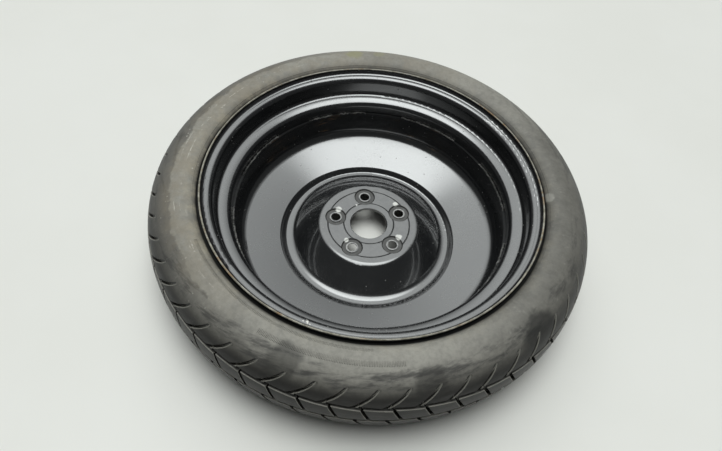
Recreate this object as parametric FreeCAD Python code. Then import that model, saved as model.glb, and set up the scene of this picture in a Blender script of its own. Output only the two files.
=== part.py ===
import FreeCAD, Part
import math
import os

from FreeCAD import Vector

# Compact spare wheel, lying flat with its inboard side up.
# Millimetres. Z is the wheel's axis, and z = 0 is the rim's mid-plane.

# Rim: rolled sheet hoop
RIM_WIDTH = 101.6             # between the flanges' tyre-side faces
RIM_SHEET = 2.4
BEAD_SEAT_RADIUS = 218.3      # where the seat meets the flange
SEAT_TAPER_DEG = 5.0
FLANGE_HEIGHT = 14.1
FLANGE_CURL_RADIUS = 7.6
FLANGE_LIP_LENGTH = 9.0       # how far the lip stands out past the flange face
BEAD_HEEL_RADIUS = 6.0
WELL_RADIUS = 197.3           # tyre side of the drop centre
INNER_LEDGE_Z = 25.0          # where the inboard seat turns in towards the well
INNER_LEDGE_SLOPE_DEG = 16.0
OUTER_LEDGE_Z = -30.0         # the outboard ledge is steeper and carries the valve
OUTER_LEDGE_SLOPE_DEG = 30.0
INNER_LEDGE_ROUND = 9.0
OUTER_LEDGE_ROUND = 5.0
WELL_ROUND = 4.0

# Disc: pressed sheet centre
DISC_SHEET = 3.0
DISC_FIT = 0.05               # radial clearance of the disc's flange in the well
DISC_EDGE_Z = 4.0             # welded edge of the disc's flange
DISC_FLAT_OUTER_Z = -36.5     # flat ring carried out to the flange wall
DISC_FLAT_INNER_Z = -53.5
DISC_FLANGE_BEND = 17.0
STEP_RADIUS = 131.0           # inner edge of the flat ring
STEP_ROUND = 4.5
VALLEY_Z = -57.2
VALLEY_OUTER_RADIUS = 122.0
VALLEY_OUTER_ROUND = 7.0
VALLEY_INNER_RADIUS = 112.0
VALLEY_INNER_ROUND = 16.0
HUB_FACE_Z = -30.5            # mounting face
HUB_SHOULDER_RADIUS = 72.5
HUB_SHOULDER_ROUND = 10.0
BORE_RADIUS = 27.05
BORE_EDGE_ROUND = 0.8

# Bolt circle
LUG_COUNT = 5
LUG_CIRCLE_RADIUS = 50.0
LUG_FIRST_DEG = 103.5
LUG_HOLE_RADIUS = 7.0
LUG_SEAT_RADIUS = 8.8         # wide end of the nut's cone
LUG_SEAT_HALF_DEG = 30.0
LUG_RECESS_RADIUS = 14.0      # pressed pocket round each hole, on the inboard side
LUG_RECESS_DEPTH = 1.8
LUG_RECESS_FLARE = 1.6        # how much wider the pocket is at its mouth
LUG_LIP_HEIGHT = 1.2          # collar drawn up round the hole, in the pocket
LUG_LIP_WIDTH = 1.9
PAD_GROOVE_DEPTH = 0.7
PAD_GROOVE_WIDTH = 2.2
PAD_INNER_GROOVE_RADIUS = 37.0
PAD_OUTER_GROOVE_RADIUS = 60.5

# Welds along the disc's edge
WELD_COUNT = 8
WELD_ARC_DEG = 27.0
WELD_LEG = 3.0
WELD_FIRST_DEG = 9.0

# Tyre
TYRE_RADIUS = 306.0
SECTION_WIDTH = 127.0
CROWN_RADIUS = 95.0
CROWN_HALF_WIDTH = 26.0
BEAD_BULGE_RADIUS = 22.0
TREAD_THICKNESS = 12.0
SIDEWALL_THICKNESS = 6.5
BEAD_BASE_WIDTH = 16.5
BEAD_THICKNESS = 12.0
BEAD_CLEARANCE = 0.2

# Tread pattern
PITCH_COUNT = 48
GROOVE_Z = 17.5               # middle of each ring groove
GROOVE_WIDTH = 5.6
GROOVE_DEPTH = 6.6            # below the crown
GROOVE_TOOTH = 2.6            # saw-tooth drop along one pitch
CROSS_SLOT_WIDTH = 5.0
CROSS_SLOT_LEAN = 10.5        # how far a cross slot runs round the tyre
SHOULDER_SLOT_WIDTH = 6.4     # where it leaves the ring groove
SHOULDER_SLOT_TIP = 3.0
SHOULDER_SLOT_LEAN = 27.0
SHOULDER_SLOT_BOW = 2.8
SHOULDER_SLOT_DEPTH = 4.8
SHOULDER_SLOT_END_Z = 46.0
SLOT_TO_CROSS = 12.5          # from a shoulder slot's root to the next cross slot's head

# Snap-in valve on the outboard ledge; lengths run out from the ledge's face
VALVE_DEG = 139.5
VALVE_HOLE_RADIUS = 5.75
VALVE_FIT = 0.05
VALVE_SEAT_GAP = 0.3
STEM_BASE_RADIUS = 8.0
STEM_BASE_TIP_RADIUS = 6.0
STEM_BASE_LENGTH = 5.0
STEM_COLLAR_RADIUS = 7.0
STEM_COLLAR_LENGTH = 2.5
STEM_TIP_RADIUS = 5.2
STEM_LENGTH = 17.5
TUBE_RADIUS = 3.2
TUBE_TAIL = 6.0               # how far the tube reaches inside the rim
TUBE_AIRWAY_RADIUS = 1.7
THREAD_RADIUS = 3.8
THREAD_LENGTH = 8.5
CORE_CHAMBER_RADIUS = 2.65
CORE_CHAMBER_START = 5.0
CORE_START = 10.0
CORE_HEAD_START = 18.0
CORE_END_SETBACK = 1.5
CORE_NECK_RADIUS = 2.2
CORE_GASKET_LENGTH = 1.4
CORE_BORE_RADIUS = 1.5
CORE_END_WALL = 1.5
PIN_RADIUS = 0.75
PIN_FIT = 0.06
PIN_SETBACK = 0.3
PIN_COLLAR_LENGTH = 0.6
PIN_COLLAR_RADIUS = 1.4
PIN_SEAL_RADIUS = 1.95
PIN_SEAL_LENGTH = 1.5
PIN_SEAL_GAP = 0.02
SPRING_RADIUS = 1.1
SPRING_WIRE = 0.3
SPRING_TURNS = 4
SPRING_GAP = 0.05
CAP_RADIUS = 4.9
CAP_CLEARANCE = 0.3
CAP_SKIRT_START = 18.2
CAP_END_WALL = 1.4
CAP_DOME = 0.8
CAP_GASKET_HOLE_RADIUS = 2.2
CAP_GASKET_THICKNESS = 0.8
CAP_GASKET_GAP = 0.1

AXIS = Vector(0, 0, 1)
CENTRE = Vector(0, 0, 0)


def in_section(radius, height):
    """A point of a section drawn in the plane of X and Z."""
    return Vector(radius, 0, height)


def unit(start, end):
    """Direction from one corner to another, as (radius, height)."""
    step_r = end[0] - start[0]
    step_z = end[1] - start[1]
    length = math.hypot(step_r, step_z)
    return step_r / length, step_z / length


def turn_of(before, after):
    """Sine of the turn between two directions, positive to the left."""
    return before[0] * after[1] - before[1] * after[0]


def beside(corners, distance):
    """The same bends followed at a distance to the left of a path."""
    moved = []
    for index, corner in enumerate(corners):
        before = unit(corners[max(index - 1, 0)], corners[max(index, 1)])
        last = len(corners) - 1
        after = unit(corners[min(index, last - 1)], corners[min(index + 1, last)])
        left_before = (-before[1], before[0])
        left_after = (-after[1], after[0])
        spread = 1 + left_before[0] * left_after[0] + left_before[1] * left_after[1]
        radius = corner[0] + (left_before[0] + left_after[0]) * distance / spread
        height = corner[1] + (left_before[1] + left_after[1]) * distance / spread
        bend = corner[2]
        if bend > 0:
            bend = bend - math.copysign(distance, turn_of(before, after) * distance)
        moved.append((radius, height, bend))
    return moved


def rounded_path(corners):
    """Lines joined by tangent arcs; each corner is (radius, height, bend radius)."""
    edges = []
    here = in_section(corners[0][0], corners[0][1])
    for index in range(1, len(corners) - 1):
        before = unit(corners[index - 1], corners[index])
        after = unit(corners[index], corners[index + 1])
        bend = corners[index][2]
        corner = in_section(corners[index][0], corners[index][1])
        angle = math.atan2(turn_of(before, after), before[0] * after[0] + before[1] * after[1])
        setback = bend * math.tan(abs(angle) / 2)
        start = corner - in_section(*before) * setback
        end = corner + in_section(*after) * setback
        inward = in_section(after[0] - before[0], after[1] - before[1]).normalize()
        middle = corner + inward * (bend / math.cos(angle / 2) - bend)
        edges.append(Part.LineSegment(here, start).toShape())
        edges.append(Part.Arc(start, middle, end).toShape())
        here = end
    last = in_section(corners[-1][0], corners[-1][1])
    edges.append(Part.LineSegment(here, last).toShape())
    return edges


def end_edge(start, end, outward):
    """The sheet's cut edge, square, or full round where outward is given."""
    if outward is None:
        return Part.LineSegment(start, end).toShape()
    middle = (start + end) * 0.5 + outward * (start.distanceToPoint(end) / 2)
    return Part.Arc(start, middle, end).toShape()


def spun_sheet(corners, thickness, round_ends=False):
    """Sheet of one thickness, to the right of a path, turned about the axis."""
    other = beside(corners, -thickness)
    ends = []
    for near, far in ((0, 1), (-1, -2)):
        outward = None
        if round_ends:
            outward = in_section(*unit(corners[far], corners[near]))
        first = in_section(corners[near][0], corners[near][1])
        second = in_section(other[near][0], other[near][1])
        ends.append(end_edge(first, second, outward))
    edges = rounded_path(corners) + rounded_path(other) + ends
    return spun(edges)


def spun(edges, start_deg=0.0, sweep_deg=360.0):
    """Closed section turned about the axis."""
    face = Part.Face(Part.Wire(Part.__sortEdges__(edges)))
    solid = face.revolve(CENTRE, AXIS, sweep_deg)
    solid.rotate(CENTRE, AXIS, start_deg)
    return solid


def turned(outline):
    """A turned piece from the straight outline of its half section."""
    points = [in_section(radius, height) for radius, height in outline]
    return spun(Part.makePolygon(points + points[:1]).Edges)


def polar(radius, degrees, height=0.0):
    """A point at a radius and an angle about the axis."""
    angle = math.radians(degrees)
    return Vector(radius * math.cos(angle), radius * math.sin(angle), height)


def around(shape, count, first_deg):
    """Copies of a shape made at angle zero, spread evenly about the axis."""
    copies = []
    for index in range(count):
        copy = shape.copy()
        copy.rotate(CENTRE, AXIS, first_deg + index * 360.0 / count)
        copies.append(copy)
    return copies


# Rim

def flange_face_z():
    return RIM_WIDTH / 2


def flange_radius():
    return BEAD_SEAT_RADIUS + FLANGE_HEIGHT


def lip_z():
    """Height of the lip's edge, short of its round by half the sheet."""
    return flange_face_z() + FLANGE_LIP_LENGTH


def seat_radius_at(height):
    """Tyre-side radius of the bead seat at a height."""
    taper = math.tan(math.radians(SEAT_TAPER_DEG))
    return BEAD_SEAT_RADIUS - taper * (flange_face_z() - abs(height))


def well_z(ledge_z, slope_deg):
    """Height where a ledge meets the well."""
    drop = (seat_radius_at(ledge_z) - WELL_RADIUS) * math.tan(math.radians(slope_deg))
    return ledge_z - math.copysign(drop, ledge_z)


def half_rim_corners(side, ledge_z, slope_deg, ledge_round):
    """Tyre-side corners from one flange's lip to the well."""
    return [
        (flange_radius(), side * lip_z(), 0.0),
        (flange_radius(), side * flange_face_z(), FLANGE_CURL_RADIUS),
        (BEAD_SEAT_RADIUS, side * flange_face_z(), BEAD_HEEL_RADIUS),
        (seat_radius_at(ledge_z), ledge_z, ledge_round),
        (WELL_RADIUS, well_z(ledge_z, slope_deg), WELL_ROUND),
    ]


def make_rim():
    inner = half_rim_corners(1, INNER_LEDGE_Z, INNER_LEDGE_SLOPE_DEG, INNER_LEDGE_ROUND)
    outer = half_rim_corners(-1, OUTER_LEDGE_Z, OUTER_LEDGE_SLOPE_DEG, OUTER_LEDGE_ROUND)
    rim = spun_sheet(inner + outer[::-1], RIM_SHEET, round_ends=True)
    hole = Part.makeCylinder(VALVE_HOLE_RADIUS, 4 * RIM_SHEET, Vector(0, 0, -3 * RIM_SHEET))
    return rim.cut(on_valve(hole))


# Disc

def disc_flange_radius():
    """Outside of the disc's flange, in the well."""
    return WELL_RADIUS - RIM_SHEET - DISC_FIT


def hub_back_z():
    """Outboard face of the hub plate."""
    return HUB_FACE_Z - DISC_SHEET


def make_disc():
    flange_inside = disc_flange_radius() - DISC_SHEET
    corners = [
        (BORE_RADIUS, HUB_FACE_Z, 0.0),
        (HUB_SHOULDER_RADIUS, HUB_FACE_Z, HUB_SHOULDER_ROUND),
        (VALLEY_INNER_RADIUS, VALLEY_Z, VALLEY_INNER_ROUND),
        (VALLEY_OUTER_RADIUS, VALLEY_Z, VALLEY_OUTER_ROUND),
        (STEP_RADIUS, DISC_FLAT_INNER_Z, STEP_ROUND),
        (flange_inside, DISC_FLAT_OUTER_Z, DISC_FLANGE_BEND),
        (flange_inside, DISC_EDGE_Z, 0.0),
    ]
    disc = spun_sheet(corners, DISC_SHEET)
    disc = disc.fuse(around(lug_boss(), LUG_COUNT, LUG_FIRST_DEG))
    disc = disc.cut([pad_groove(PAD_INNER_GROOVE_RADIUS), pad_groove(PAD_OUTER_GROOVE_RADIUS)])
    disc = disc.cut(around(lug_pocket(), LUG_COUNT, LUG_FIRST_DEG))
    disc = disc.cut(around(lug_hole(), LUG_COUNT, LUG_FIRST_DEG))
    return disc.cut(bore_edge())


def at_lug(shape):
    shape.translate(Vector(LUG_CIRCLE_RADIUS, 0, 0))
    return shape


def lug_boss():
    """Pressed-out seat on the outboard face, as high as the pocket is deep."""
    base_z = hub_back_z()
    wide = LUG_RECESS_RADIUS + LUG_RECESS_FLARE
    return at_lug(turned([
        (0, base_z + DISC_SHEET / 2),
        (wide, base_z + DISC_SHEET / 2),
        (wide, base_z),
        (LUG_RECESS_RADIUS, base_z - LUG_RECESS_DEPTH),
        (0, base_z - LUG_RECESS_DEPTH),
    ]))


def lug_pocket():
    """Round pressed pocket, with a low collar left standing round the hole."""
    floor_z = HUB_FACE_Z - LUG_RECESS_DEPTH
    collar = LUG_HOLE_RADIUS + LUG_LIP_WIDTH
    return at_lug(turned([
        (0, HUB_FACE_Z + LUG_RECESS_DEPTH),
        (0, floor_z + LUG_LIP_HEIGHT),
        (collar, floor_z + LUG_LIP_HEIGHT),
        (collar, floor_z),
        (LUG_RECESS_RADIUS, floor_z),
        (LUG_RECESS_RADIUS + LUG_RECESS_FLARE, HUB_FACE_Z),
        (LUG_RECESS_RADIUS + LUG_RECESS_FLARE, HUB_FACE_Z + LUG_RECESS_DEPTH),
    ]))


def lug_hole():
    """Stud hole with the nut's cone cut from the outboard face."""
    top_z = HUB_FACE_Z + LUG_RECESS_DEPTH
    seat_z = hub_back_z() - LUG_RECESS_DEPTH
    widening = math.tan(math.radians(LUG_SEAT_HALF_DEG))
    cone_top_z = seat_z + (LUG_SEAT_RADIUS - LUG_HOLE_RADIUS) / widening
    below_z = seat_z - LUG_RECESS_DEPTH
    return at_lug(turned([
        (0, top_z),
        (LUG_HOLE_RADIUS, top_z),
        (LUG_HOLE_RADIUS, cone_top_z),
        (LUG_SEAT_RADIUS, seat_z),
        (LUG_SEAT_RADIUS, below_z),
        (0, below_z),
    ]))


def pad_groove(radius):
    """Shallow ring pressed into the mounting face."""
    floor_z = HUB_FACE_Z - PAD_GROOVE_DEPTH
    half = PAD_GROOVE_WIDTH / 2
    return turned([
        (radius - half, HUB_FACE_Z),
        (radius, floor_z),
        (radius + half, HUB_FACE_Z),
        (radius + half, HUB_FACE_Z + PAD_GROOVE_DEPTH),
        (radius - half, HUB_FACE_Z + PAD_GROOVE_DEPTH),
    ])


def bore_edge():
    """Bevel at the mouth of the bore, on the mounting face."""
    return turned([
        (0, HUB_FACE_Z - BORE_EDGE_ROUND),
        (BORE_RADIUS, HUB_FACE_Z - BORE_EDGE_ROUND),
        (BORE_RADIUS + BORE_EDGE_ROUND, HUB_FACE_Z),
        (BORE_RADIUS + BORE_EDGE_ROUND, HUB_FACE_Z + BORE_EDGE_ROUND),
        (0, HUB_FACE_Z + BORE_EDGE_ROUND),
    ])


def make_weld_beads():
    """Fillet beads on the disc's edge, against the well's wall."""
    wall = WELL_RADIUS - RIM_SHEET
    foot = in_section(wall - WELD_LEG, DISC_EDGE_Z)
    corner = in_section(wall, DISC_EDGE_Z)
    head = in_section(wall, DISC_EDGE_Z + WELD_LEG)
    bulge = (foot + head) * 0.5
    edges = [
        Part.LineSegment(foot, corner).toShape(),
        Part.LineSegment(corner, head).toShape(),
        Part.Arc(head, bulge + in_section(-0.1, 0.1) * WELD_LEG, foot).toShape(),
    ]
    bead = spun(edges, sweep_deg=WELD_ARC_DEG)
    return Part.makeCompound(around(bead, WELD_COUNT, WELD_FIRST_DEG))


# Tyre

def crown_lean():
    """Lean of the crown's surface where it runs into the sidewall, in radians."""
    return math.asin(CROWN_HALF_WIDTH / CROWN_RADIUS)


def crown_edge_radius():
    return TYRE_RADIUS - CROWN_RADIUS * (1 - math.cos(crown_lean()))


def sidewall_radius():
    """Sidewall arc that leaves the crown smoothly and ends at the widest point."""
    return (SECTION_WIDTH / 2 - CROWN_HALF_WIDTH) / (1 - math.sin(crown_lean()))


def sidewall_centre():
    radius = crown_edge_radius() - sidewall_radius() * math.cos(crown_lean())
    return radius, CROWN_HALF_WIDTH - sidewall_radius() * math.sin(crown_lean())


def surface_radius_at(height):
    """Outside radius of the tyre at a height on the crown or shoulder."""
    if abs(height) < CROWN_HALF_WIDTH:
        return TYRE_RADIUS - CROWN_RADIUS + math.sqrt(CROWN_RADIUS ** 2 - height ** 2)
    centre_r, centre_z = sidewall_centre()
    return centre_r + math.sqrt(sidewall_radius() ** 2 - (abs(height) - centre_z) ** 2)


def arc_points(centre, radius, angles_deg):
    points = []
    for degrees in angles_deg:
        angle = math.radians(degrees)
        points.append((centre[0] + radius * math.cos(angle), centre[1] + radius * math.sin(angle)))
    return points


def half_tyre_arcs():
    """Upper half of the section from the crown's edge round to its inside, as arcs and lines."""
    half = SECTION_WIDTH / 2
    lean_deg = math.degrees(crown_lean())
    side_mid_deg = (lean_deg + 90) / 2
    side = arc_points(sidewall_centre(), sidewall_radius(), (lean_deg, side_mid_deg, 90))
    widest = sidewall_centre()[0]

    bulge_end_deg = 145.0
    bulge_mid_deg = (90 + bulge_end_deg) / 2
    bulge_centre = (widest, half - BEAD_BULGE_RADIUS)
    bulge = arc_points(bulge_centre, BEAD_BULGE_RADIUS, (90, bulge_mid_deg, bulge_end_deg))

    face_z = flange_face_z() - BEAD_CLEARANCE
    curl_centre = (flange_radius() - FLANGE_CURL_RADIUS, flange_face_z() + FLANGE_CURL_RADIUS)
    curl = arc_points(curl_centre, FLANGE_CURL_RADIUS + BEAD_CLEARANCE, (-50, -70, -90))

    taper = math.radians(SEAT_TAPER_DEG)
    heel_r = BEAD_HEEL_RADIUS * (1 - math.sin(taper)) / math.cos(taper)
    heel_centre = (BEAD_SEAT_RADIUS + heel_r, flange_face_z() - BEAD_HEEL_RADIUS)
    heel_end_deg = 180 - SEAT_TAPER_DEG
    heel_mid_deg = (90 + heel_end_deg) / 2
    heel = arc_points(heel_centre, BEAD_HEEL_RADIUS - BEAD_CLEARANCE, (90, heel_mid_deg, heel_end_deg))

    toe_z = face_z - BEAD_BASE_WIDTH
    toe = (seat_radius_at(toe_z) + BEAD_CLEARANCE, toe_z)
    bead_inside = (flange_radius(), face_z - BEAD_THICKNESS)

    liner = SIDEWALL_THICKNESS
    mean = (TREAD_THICKNESS + SIDEWALL_THICKNESS) / 2
    inner_side = [
        (widest, half - liner),
        arc_points(sidewall_centre(), sidewall_radius() - mean, (side_mid_deg,))[0],
        arc_points(sidewall_centre(), sidewall_radius() - TREAD_THICKNESS, (lean_deg,))[0],
    ]
    return [side, bulge, [bulge[2], curl[0]], curl, [curl[2], heel[0]], heel, [heel[2], toe],
            [toe, bead_inside], [bead_inside, inner_side[0]], inner_side]


def section_edge(points, side):
    """An arc through three section points, or a line through two."""
    vectors = [in_section(radius, side * height) for radius, height in points]
    if len(vectors) == 3:
        return Part.Arc(*vectors).toShape()
    return Part.LineSegment(*vectors).toShape()


def make_tyre():
    arcs = half_tyre_arcs()
    edges = [section_edge(arc, side) for side in (1, -1) for arc in arcs]
    crown_radius, crown_z = arcs[0][0]
    inner_radius, inner_z = arcs[-1][2]
    outside = [(crown_radius, crown_z), (TYRE_RADIUS, 0.0), (crown_radius, -crown_z)]
    inside_top = TYRE_RADIUS - TREAD_THICKNESS
    inside = [(inner_radius, inner_z), (inside_top, 0.0), (inner_radius, -inner_z)]
    edges.append(section_edge(outside, 1))
    edges.append(section_edge(inside, 1))
    tyre = spun(edges)
    cutters = []
    for cutter in tread_cutters():
        cutters.extend(around(cutter, PITCH_COUNT, 0.0))
    return tyre.cut(cutters)


def pitch_length():
    return 2 * math.pi * TYRE_RADIUS / PITCH_COUNT


def pattern_middle():
    """Distance round the tyre from a shoulder slot's root to the pattern's centre."""
    return SLOT_TO_CROSS + CROSS_SLOT_LEAN / 2


def stamp(outline, depth):
    """Flat outline across the crown, as (round, height), pressed in to a depth."""
    proud = 2.0
    points = [Vector(TYRE_RADIUS + proud, across, height) for across, height in outline]
    face = Part.Face(Part.makePolygon(points + points[:1]))
    return face.extrude(Vector(-depth - proud, 0, 0))


def turned_over(shape):
    """The same cut on the other half of the tread, turned half round the pattern's centre."""
    other = shape.copy()
    other.rotate(CENTRE, Vector(1, 0, 0), 180)
    return other


def placed_round(shape, distance):
    """Moves a cut made at angle zero along the tread."""
    shape.rotate(CENTRE, AXIS, math.degrees(distance / TYRE_RADIUS))
    return shape


def tread_cutters():
    """One pitch of the pattern, about its centre of symmetry at angle zero."""
    reach = pitch_length() / 2 + GROOVE_TOOTH
    half = GROOVE_WIDTH / 2
    tooth = GROOVE_TOOTH / 2
    groove = stamp([
        (-reach, GROOVE_Z + tooth - half),
        (reach, GROOVE_Z - tooth - half),
        (reach, GROOVE_Z - tooth + half),
        (-reach, GROOVE_Z + tooth + half),
    ], GROOVE_DEPTH)
    groove = placed_round(groove, -CROSS_SLOT_LEAN / 2 - pitch_length() / 2)

    lean = CROSS_SLOT_LEAN / 2
    slot_half = CROSS_SLOT_WIDTH / 2
    cross = stamp([
        (-lean - slot_half, GROOVE_Z),
        (-lean + slot_half, GROOVE_Z),
        (lean + slot_half, -GROOVE_Z),
        (lean - slot_half, -GROOVE_Z),
    ], GROOVE_DEPTH)

    shoulder = placed_round(shoulder_slot(), SHOULDER_SLOT_LEAN / 2 - pattern_middle())
    return [groove, turned_over(groove), cross, shoulder, turned_over(shoulder)]


def shoulder_slot():
    """Curved slot from the ring groove up over the shoulder, running out at its tip."""
    root_r = surface_radius_at(GROOVE_Z) - SHOULDER_SLOT_DEPTH
    tip_r = surface_radius_at(SHOULDER_SLOT_END_Z)
    root = Vector(root_r, 0, GROOVE_Z)
    along = Vector(tip_r, 0, SHOULDER_SLOT_END_Z) - root
    length = along.Length
    along.normalize()
    outward = Vector(along.z, 0, -along.x)
    round_tyre = Vector(0, 1, 0)
    lean = SHOULDER_SLOT_LEAN / 2
    root_half = SHOULDER_SLOT_WIDTH / 2
    tip_half = SHOULDER_SLOT_TIP / 2
    mid_half = (root_half + tip_half) / 2

    def on_floor(across, share):
        return root + round_tyre * across + along * (length * share)

    upper = Part.Arc(
        on_floor(-lean - root_half, 0), on_floor(SHOULDER_SLOT_BOW - mid_half, 0.5), on_floor(lean - tip_half, 1)
    )
    lower = Part.Arc(
        on_floor(-lean + root_half, 0), on_floor(SHOULDER_SLOT_BOW + mid_half, 0.5), on_floor(lean + tip_half, 1)
    )
    edges = [
        upper.toShape(),
        Part.LineSegment(upper.EndPoint, lower.EndPoint).toShape(),
        lower.toShape(),
        Part.LineSegment(lower.StartPoint, upper.StartPoint).toShape(),
    ]
    face = Part.Face(Part.Wire(Part.__sortEdges__(edges)))
    return face.extrude(outward * (3 * SHOULDER_SLOT_DEPTH))


# Valve

def valve_seat():
    """Middle of the outboard ledge, on its outboard face, as (radius, height)."""
    top = (seat_radius_at(OUTER_LEDGE_Z), OUTER_LEDGE_Z)
    foot = (WELL_RADIUS, well_z(OUTER_LEDGE_Z, OUTER_LEDGE_SLOPE_DEG))
    slope = math.radians(OUTER_LEDGE_SLOPE_DEG)
    radius = (top[0] + foot[0]) / 2 - RIM_SHEET * math.sin(slope)
    return radius, (top[1] + foot[1]) / 2 - RIM_SHEET * math.cos(slope)


def on_valve(shape):
    """Moves a piece made upright at the origin onto the valve's axis."""
    radius, height = valve_seat()
    slope = math.radians(OUTER_LEDGE_SLOPE_DEG)
    outward = Vector(-math.sin(slope), 0, -math.cos(slope))
    shape.Placement = FreeCAD.Placement(
        Vector(radius, 0, height), FreeCAD.Rotation(AXIS, outward)
    ).multiply(shape.Placement)
    shape.rotate(CENTRE, AXIS, VALVE_DEG)
    return shape


def tube_end():
    return STEM_LENGTH + THREAD_LENGTH


def core_end():
    return tube_end() - CORE_END_SETBACK


def make_valve_stem():
    """Rubber body: a foot inside the rim, a neck in the hole and a tapered stem."""
    bore = TUBE_RADIUS + VALVE_FIT
    neck = VALVE_HOLE_RADIUS - VALVE_FIT
    foot_z = -RIM_SHEET - VALVE_SEAT_GAP
    return on_valve(turned([
        (bore, foot_z - STEM_BASE_LENGTH),
        (STEM_BASE_TIP_RADIUS, foot_z - STEM_BASE_LENGTH),
        (STEM_BASE_RADIUS, foot_z - STEM_BASE_LENGTH / 3),
        (STEM_BASE_RADIUS, foot_z),
        (neck, foot_z),
        (neck, VALVE_SEAT_GAP),
        (STEM_COLLAR_RADIUS, VALVE_SEAT_GAP),
        (STEM_COLLAR_RADIUS, STEM_COLLAR_LENGTH),
        (STEM_TIP_RADIUS, STEM_LENGTH),
        (bore, STEM_LENGTH),
    ]))


def make_valve_tube():
    """Brass tube bonded in the rubber, with the threaded end outside."""
    return on_valve(turned([
        (TUBE_AIRWAY_RADIUS, -TUBE_TAIL),
        (TUBE_RADIUS, -TUBE_TAIL),
        (TUBE_RADIUS, STEM_LENGTH),
        (THREAD_RADIUS, STEM_LENGTH),
        (THREAD_RADIUS, tube_end()),
        (CORE_CHAMBER_RADIUS, tube_end()),
        (CORE_CHAMBER_RADIUS, CORE_CHAMBER_START),
        (TUBE_AIRWAY_RADIUS, CORE_CHAMBER_START),
    ]))


def make_core_barrel():
    """Screwed-in core: a head, a thinner neck, and a chamber for the spring."""
    guide = PIN_RADIUS + PIN_FIT
    head = CORE_CHAMBER_RADIUS - VALVE_FIT
    return on_valve(turned([
        (guide, CORE_START),
        (CORE_NECK_RADIUS, CORE_START),
        (CORE_NECK_RADIUS, CORE_HEAD_START),
        (head, CORE_HEAD_START),
        (head, core_end()),
        (guide, core_end()),
        (guide, core_end() - CORE_END_WALL),
        (CORE_BORE_RADIUS, core_end() - CORE_END_WALL),
        (CORE_BORE_RADIUS, CORE_START + CORE_END_WALL),
        (guide, CORE_START + CORE_END_WALL),
    ]))


def make_core_gasket():
    """Sealing ring under the core's head."""
    inside = CORE_NECK_RADIUS + VALVE_FIT
    outside = CORE_CHAMBER_RADIUS - VALVE_FIT
    start = CORE_HEAD_START - CORE_GASKET_LENGTH
    return on_valve(turned([
        (inside, start),
        (outside, start),
        (outside, CORE_HEAD_START),
        (inside, CORE_HEAD_START),
    ]))


def pin_collar_end():
    """The collar stops under the core's end wall."""
    return core_end() - CORE_END_WALL - SPRING_GAP


def make_core_pin():
    """Pin through the core, with the collar that the spring lifts."""
    start = CORE_START - PIN_SEAL_GAP - PIN_SEAL_LENGTH
    collar_start = pin_collar_end() - PIN_COLLAR_LENGTH
    return on_valve(turned([
        (0, start),
        (PIN_RADIUS, start),
        (PIN_RADIUS, collar_start),
        (PIN_COLLAR_RADIUS, collar_start),
        (PIN_COLLAR_RADIUS, pin_collar_end()),
        (PIN_RADIUS, pin_collar_end()),
        (PIN_RADIUS, tube_end() - PIN_SETBACK),
        (0, tube_end() - PIN_SETBACK),
    ]))


def make_pin_seal():
    """Rubber seal on the pin's foot, closed against the core."""
    top = CORE_START - PIN_SEAL_GAP
    return on_valve(turned([
        (PIN_RADIUS, top - PIN_SEAL_LENGTH),
        (PIN_SEAL_RADIUS, top - PIN_SEAL_LENGTH),
        (PIN_SEAL_RADIUS, top),
        (PIN_RADIUS, top),
    ]))


def make_core_spring():
    """Flat-wire coil between the chamber's floor and the pin's collar."""
    floor = CORE_START + CORE_END_WALL + SPRING_GAP
    top = pin_collar_end() - PIN_COLLAR_LENGTH - SPRING_GAP
    rise = top - floor - SPRING_WIRE
    path = Part.makeHelix(rise / SPRING_TURNS, rise, SPRING_RADIUS)
    half = SPRING_WIRE / 2
    corners = [
        Vector(SPRING_RADIUS - half, 0, -half),
        Vector(SPRING_RADIUS + half, 0, -half),
        Vector(SPRING_RADIUS + half, 0, half),
        Vector(SPRING_RADIUS - half, 0, half),
    ]
    wire = Part.makePolygon(corners + corners[:1])
    spring = Part.Wire(path).makePipeShell([wire], True, True)
    spring.translate(Vector(0, 0, floor + half))
    return on_valve(spring)


def cap_floor():
    """Inside of the cap's closed end."""
    return tube_end() + CAP_GASKET_GAP + CAP_GASKET_THICKNESS


def cap_bore():
    return THREAD_RADIUS + CAP_CLEARANCE


def make_valve_cap():
    """Plastic dust cap."""
    end = cap_floor() + CAP_END_WALL
    return on_valve(turned([
        (cap_bore(), CAP_SKIRT_START),
        (CAP_RADIUS, CAP_SKIRT_START),
        (CAP_RADIUS, end - CAP_DOME),
        (CAP_RADIUS - CAP_DOME, end),
        (0, end),
        (0, cap_floor()),
        (cap_bore(), cap_floor()),
    ]))


def make_cap_gasket():
    """Rubber ring in the cap's closed end."""
    return on_valve(turned([
        (CAP_GASKET_HOLE_RADIUS, cap_floor() - CAP_GASKET_THICKNESS),
        (cap_bore(), cap_floor() - CAP_GASKET_THICKNESS),
        (cap_bore(), cap_floor()),
        (CAP_GASKET_HOLE_RADIUS, cap_floor()),
    ]))


PIECES = {
    "tyre": make_tyre,
    "rim": make_rim,
    "wheel_disc": make_disc,
    "weld_beads": make_weld_beads,
    "valve_stem": make_valve_stem,
    "valve_tube": make_valve_tube,
    "core_barrel": make_core_barrel,
    "core_gasket": make_core_gasket,
    "core_pin": make_core_pin,
    "pin_seal": make_pin_seal,
    "core_spring": make_core_spring,
    "valve_cap": make_valve_cap,
    "cap_gasket": make_cap_gasket,
}

os.makedirs("parts", exist_ok=True)
for name, make in PIECES.items():
    piece = make()
    piece.exportStep(os.path.join("parts", name + ".step"))
    print(name, "solids", len(piece.Solids), "valid", piece.isValid(), "volume", round(piece.Volume, 1))
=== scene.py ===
import math

import bmesh
import bpy
from mathutils import Matrix, Vector


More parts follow.
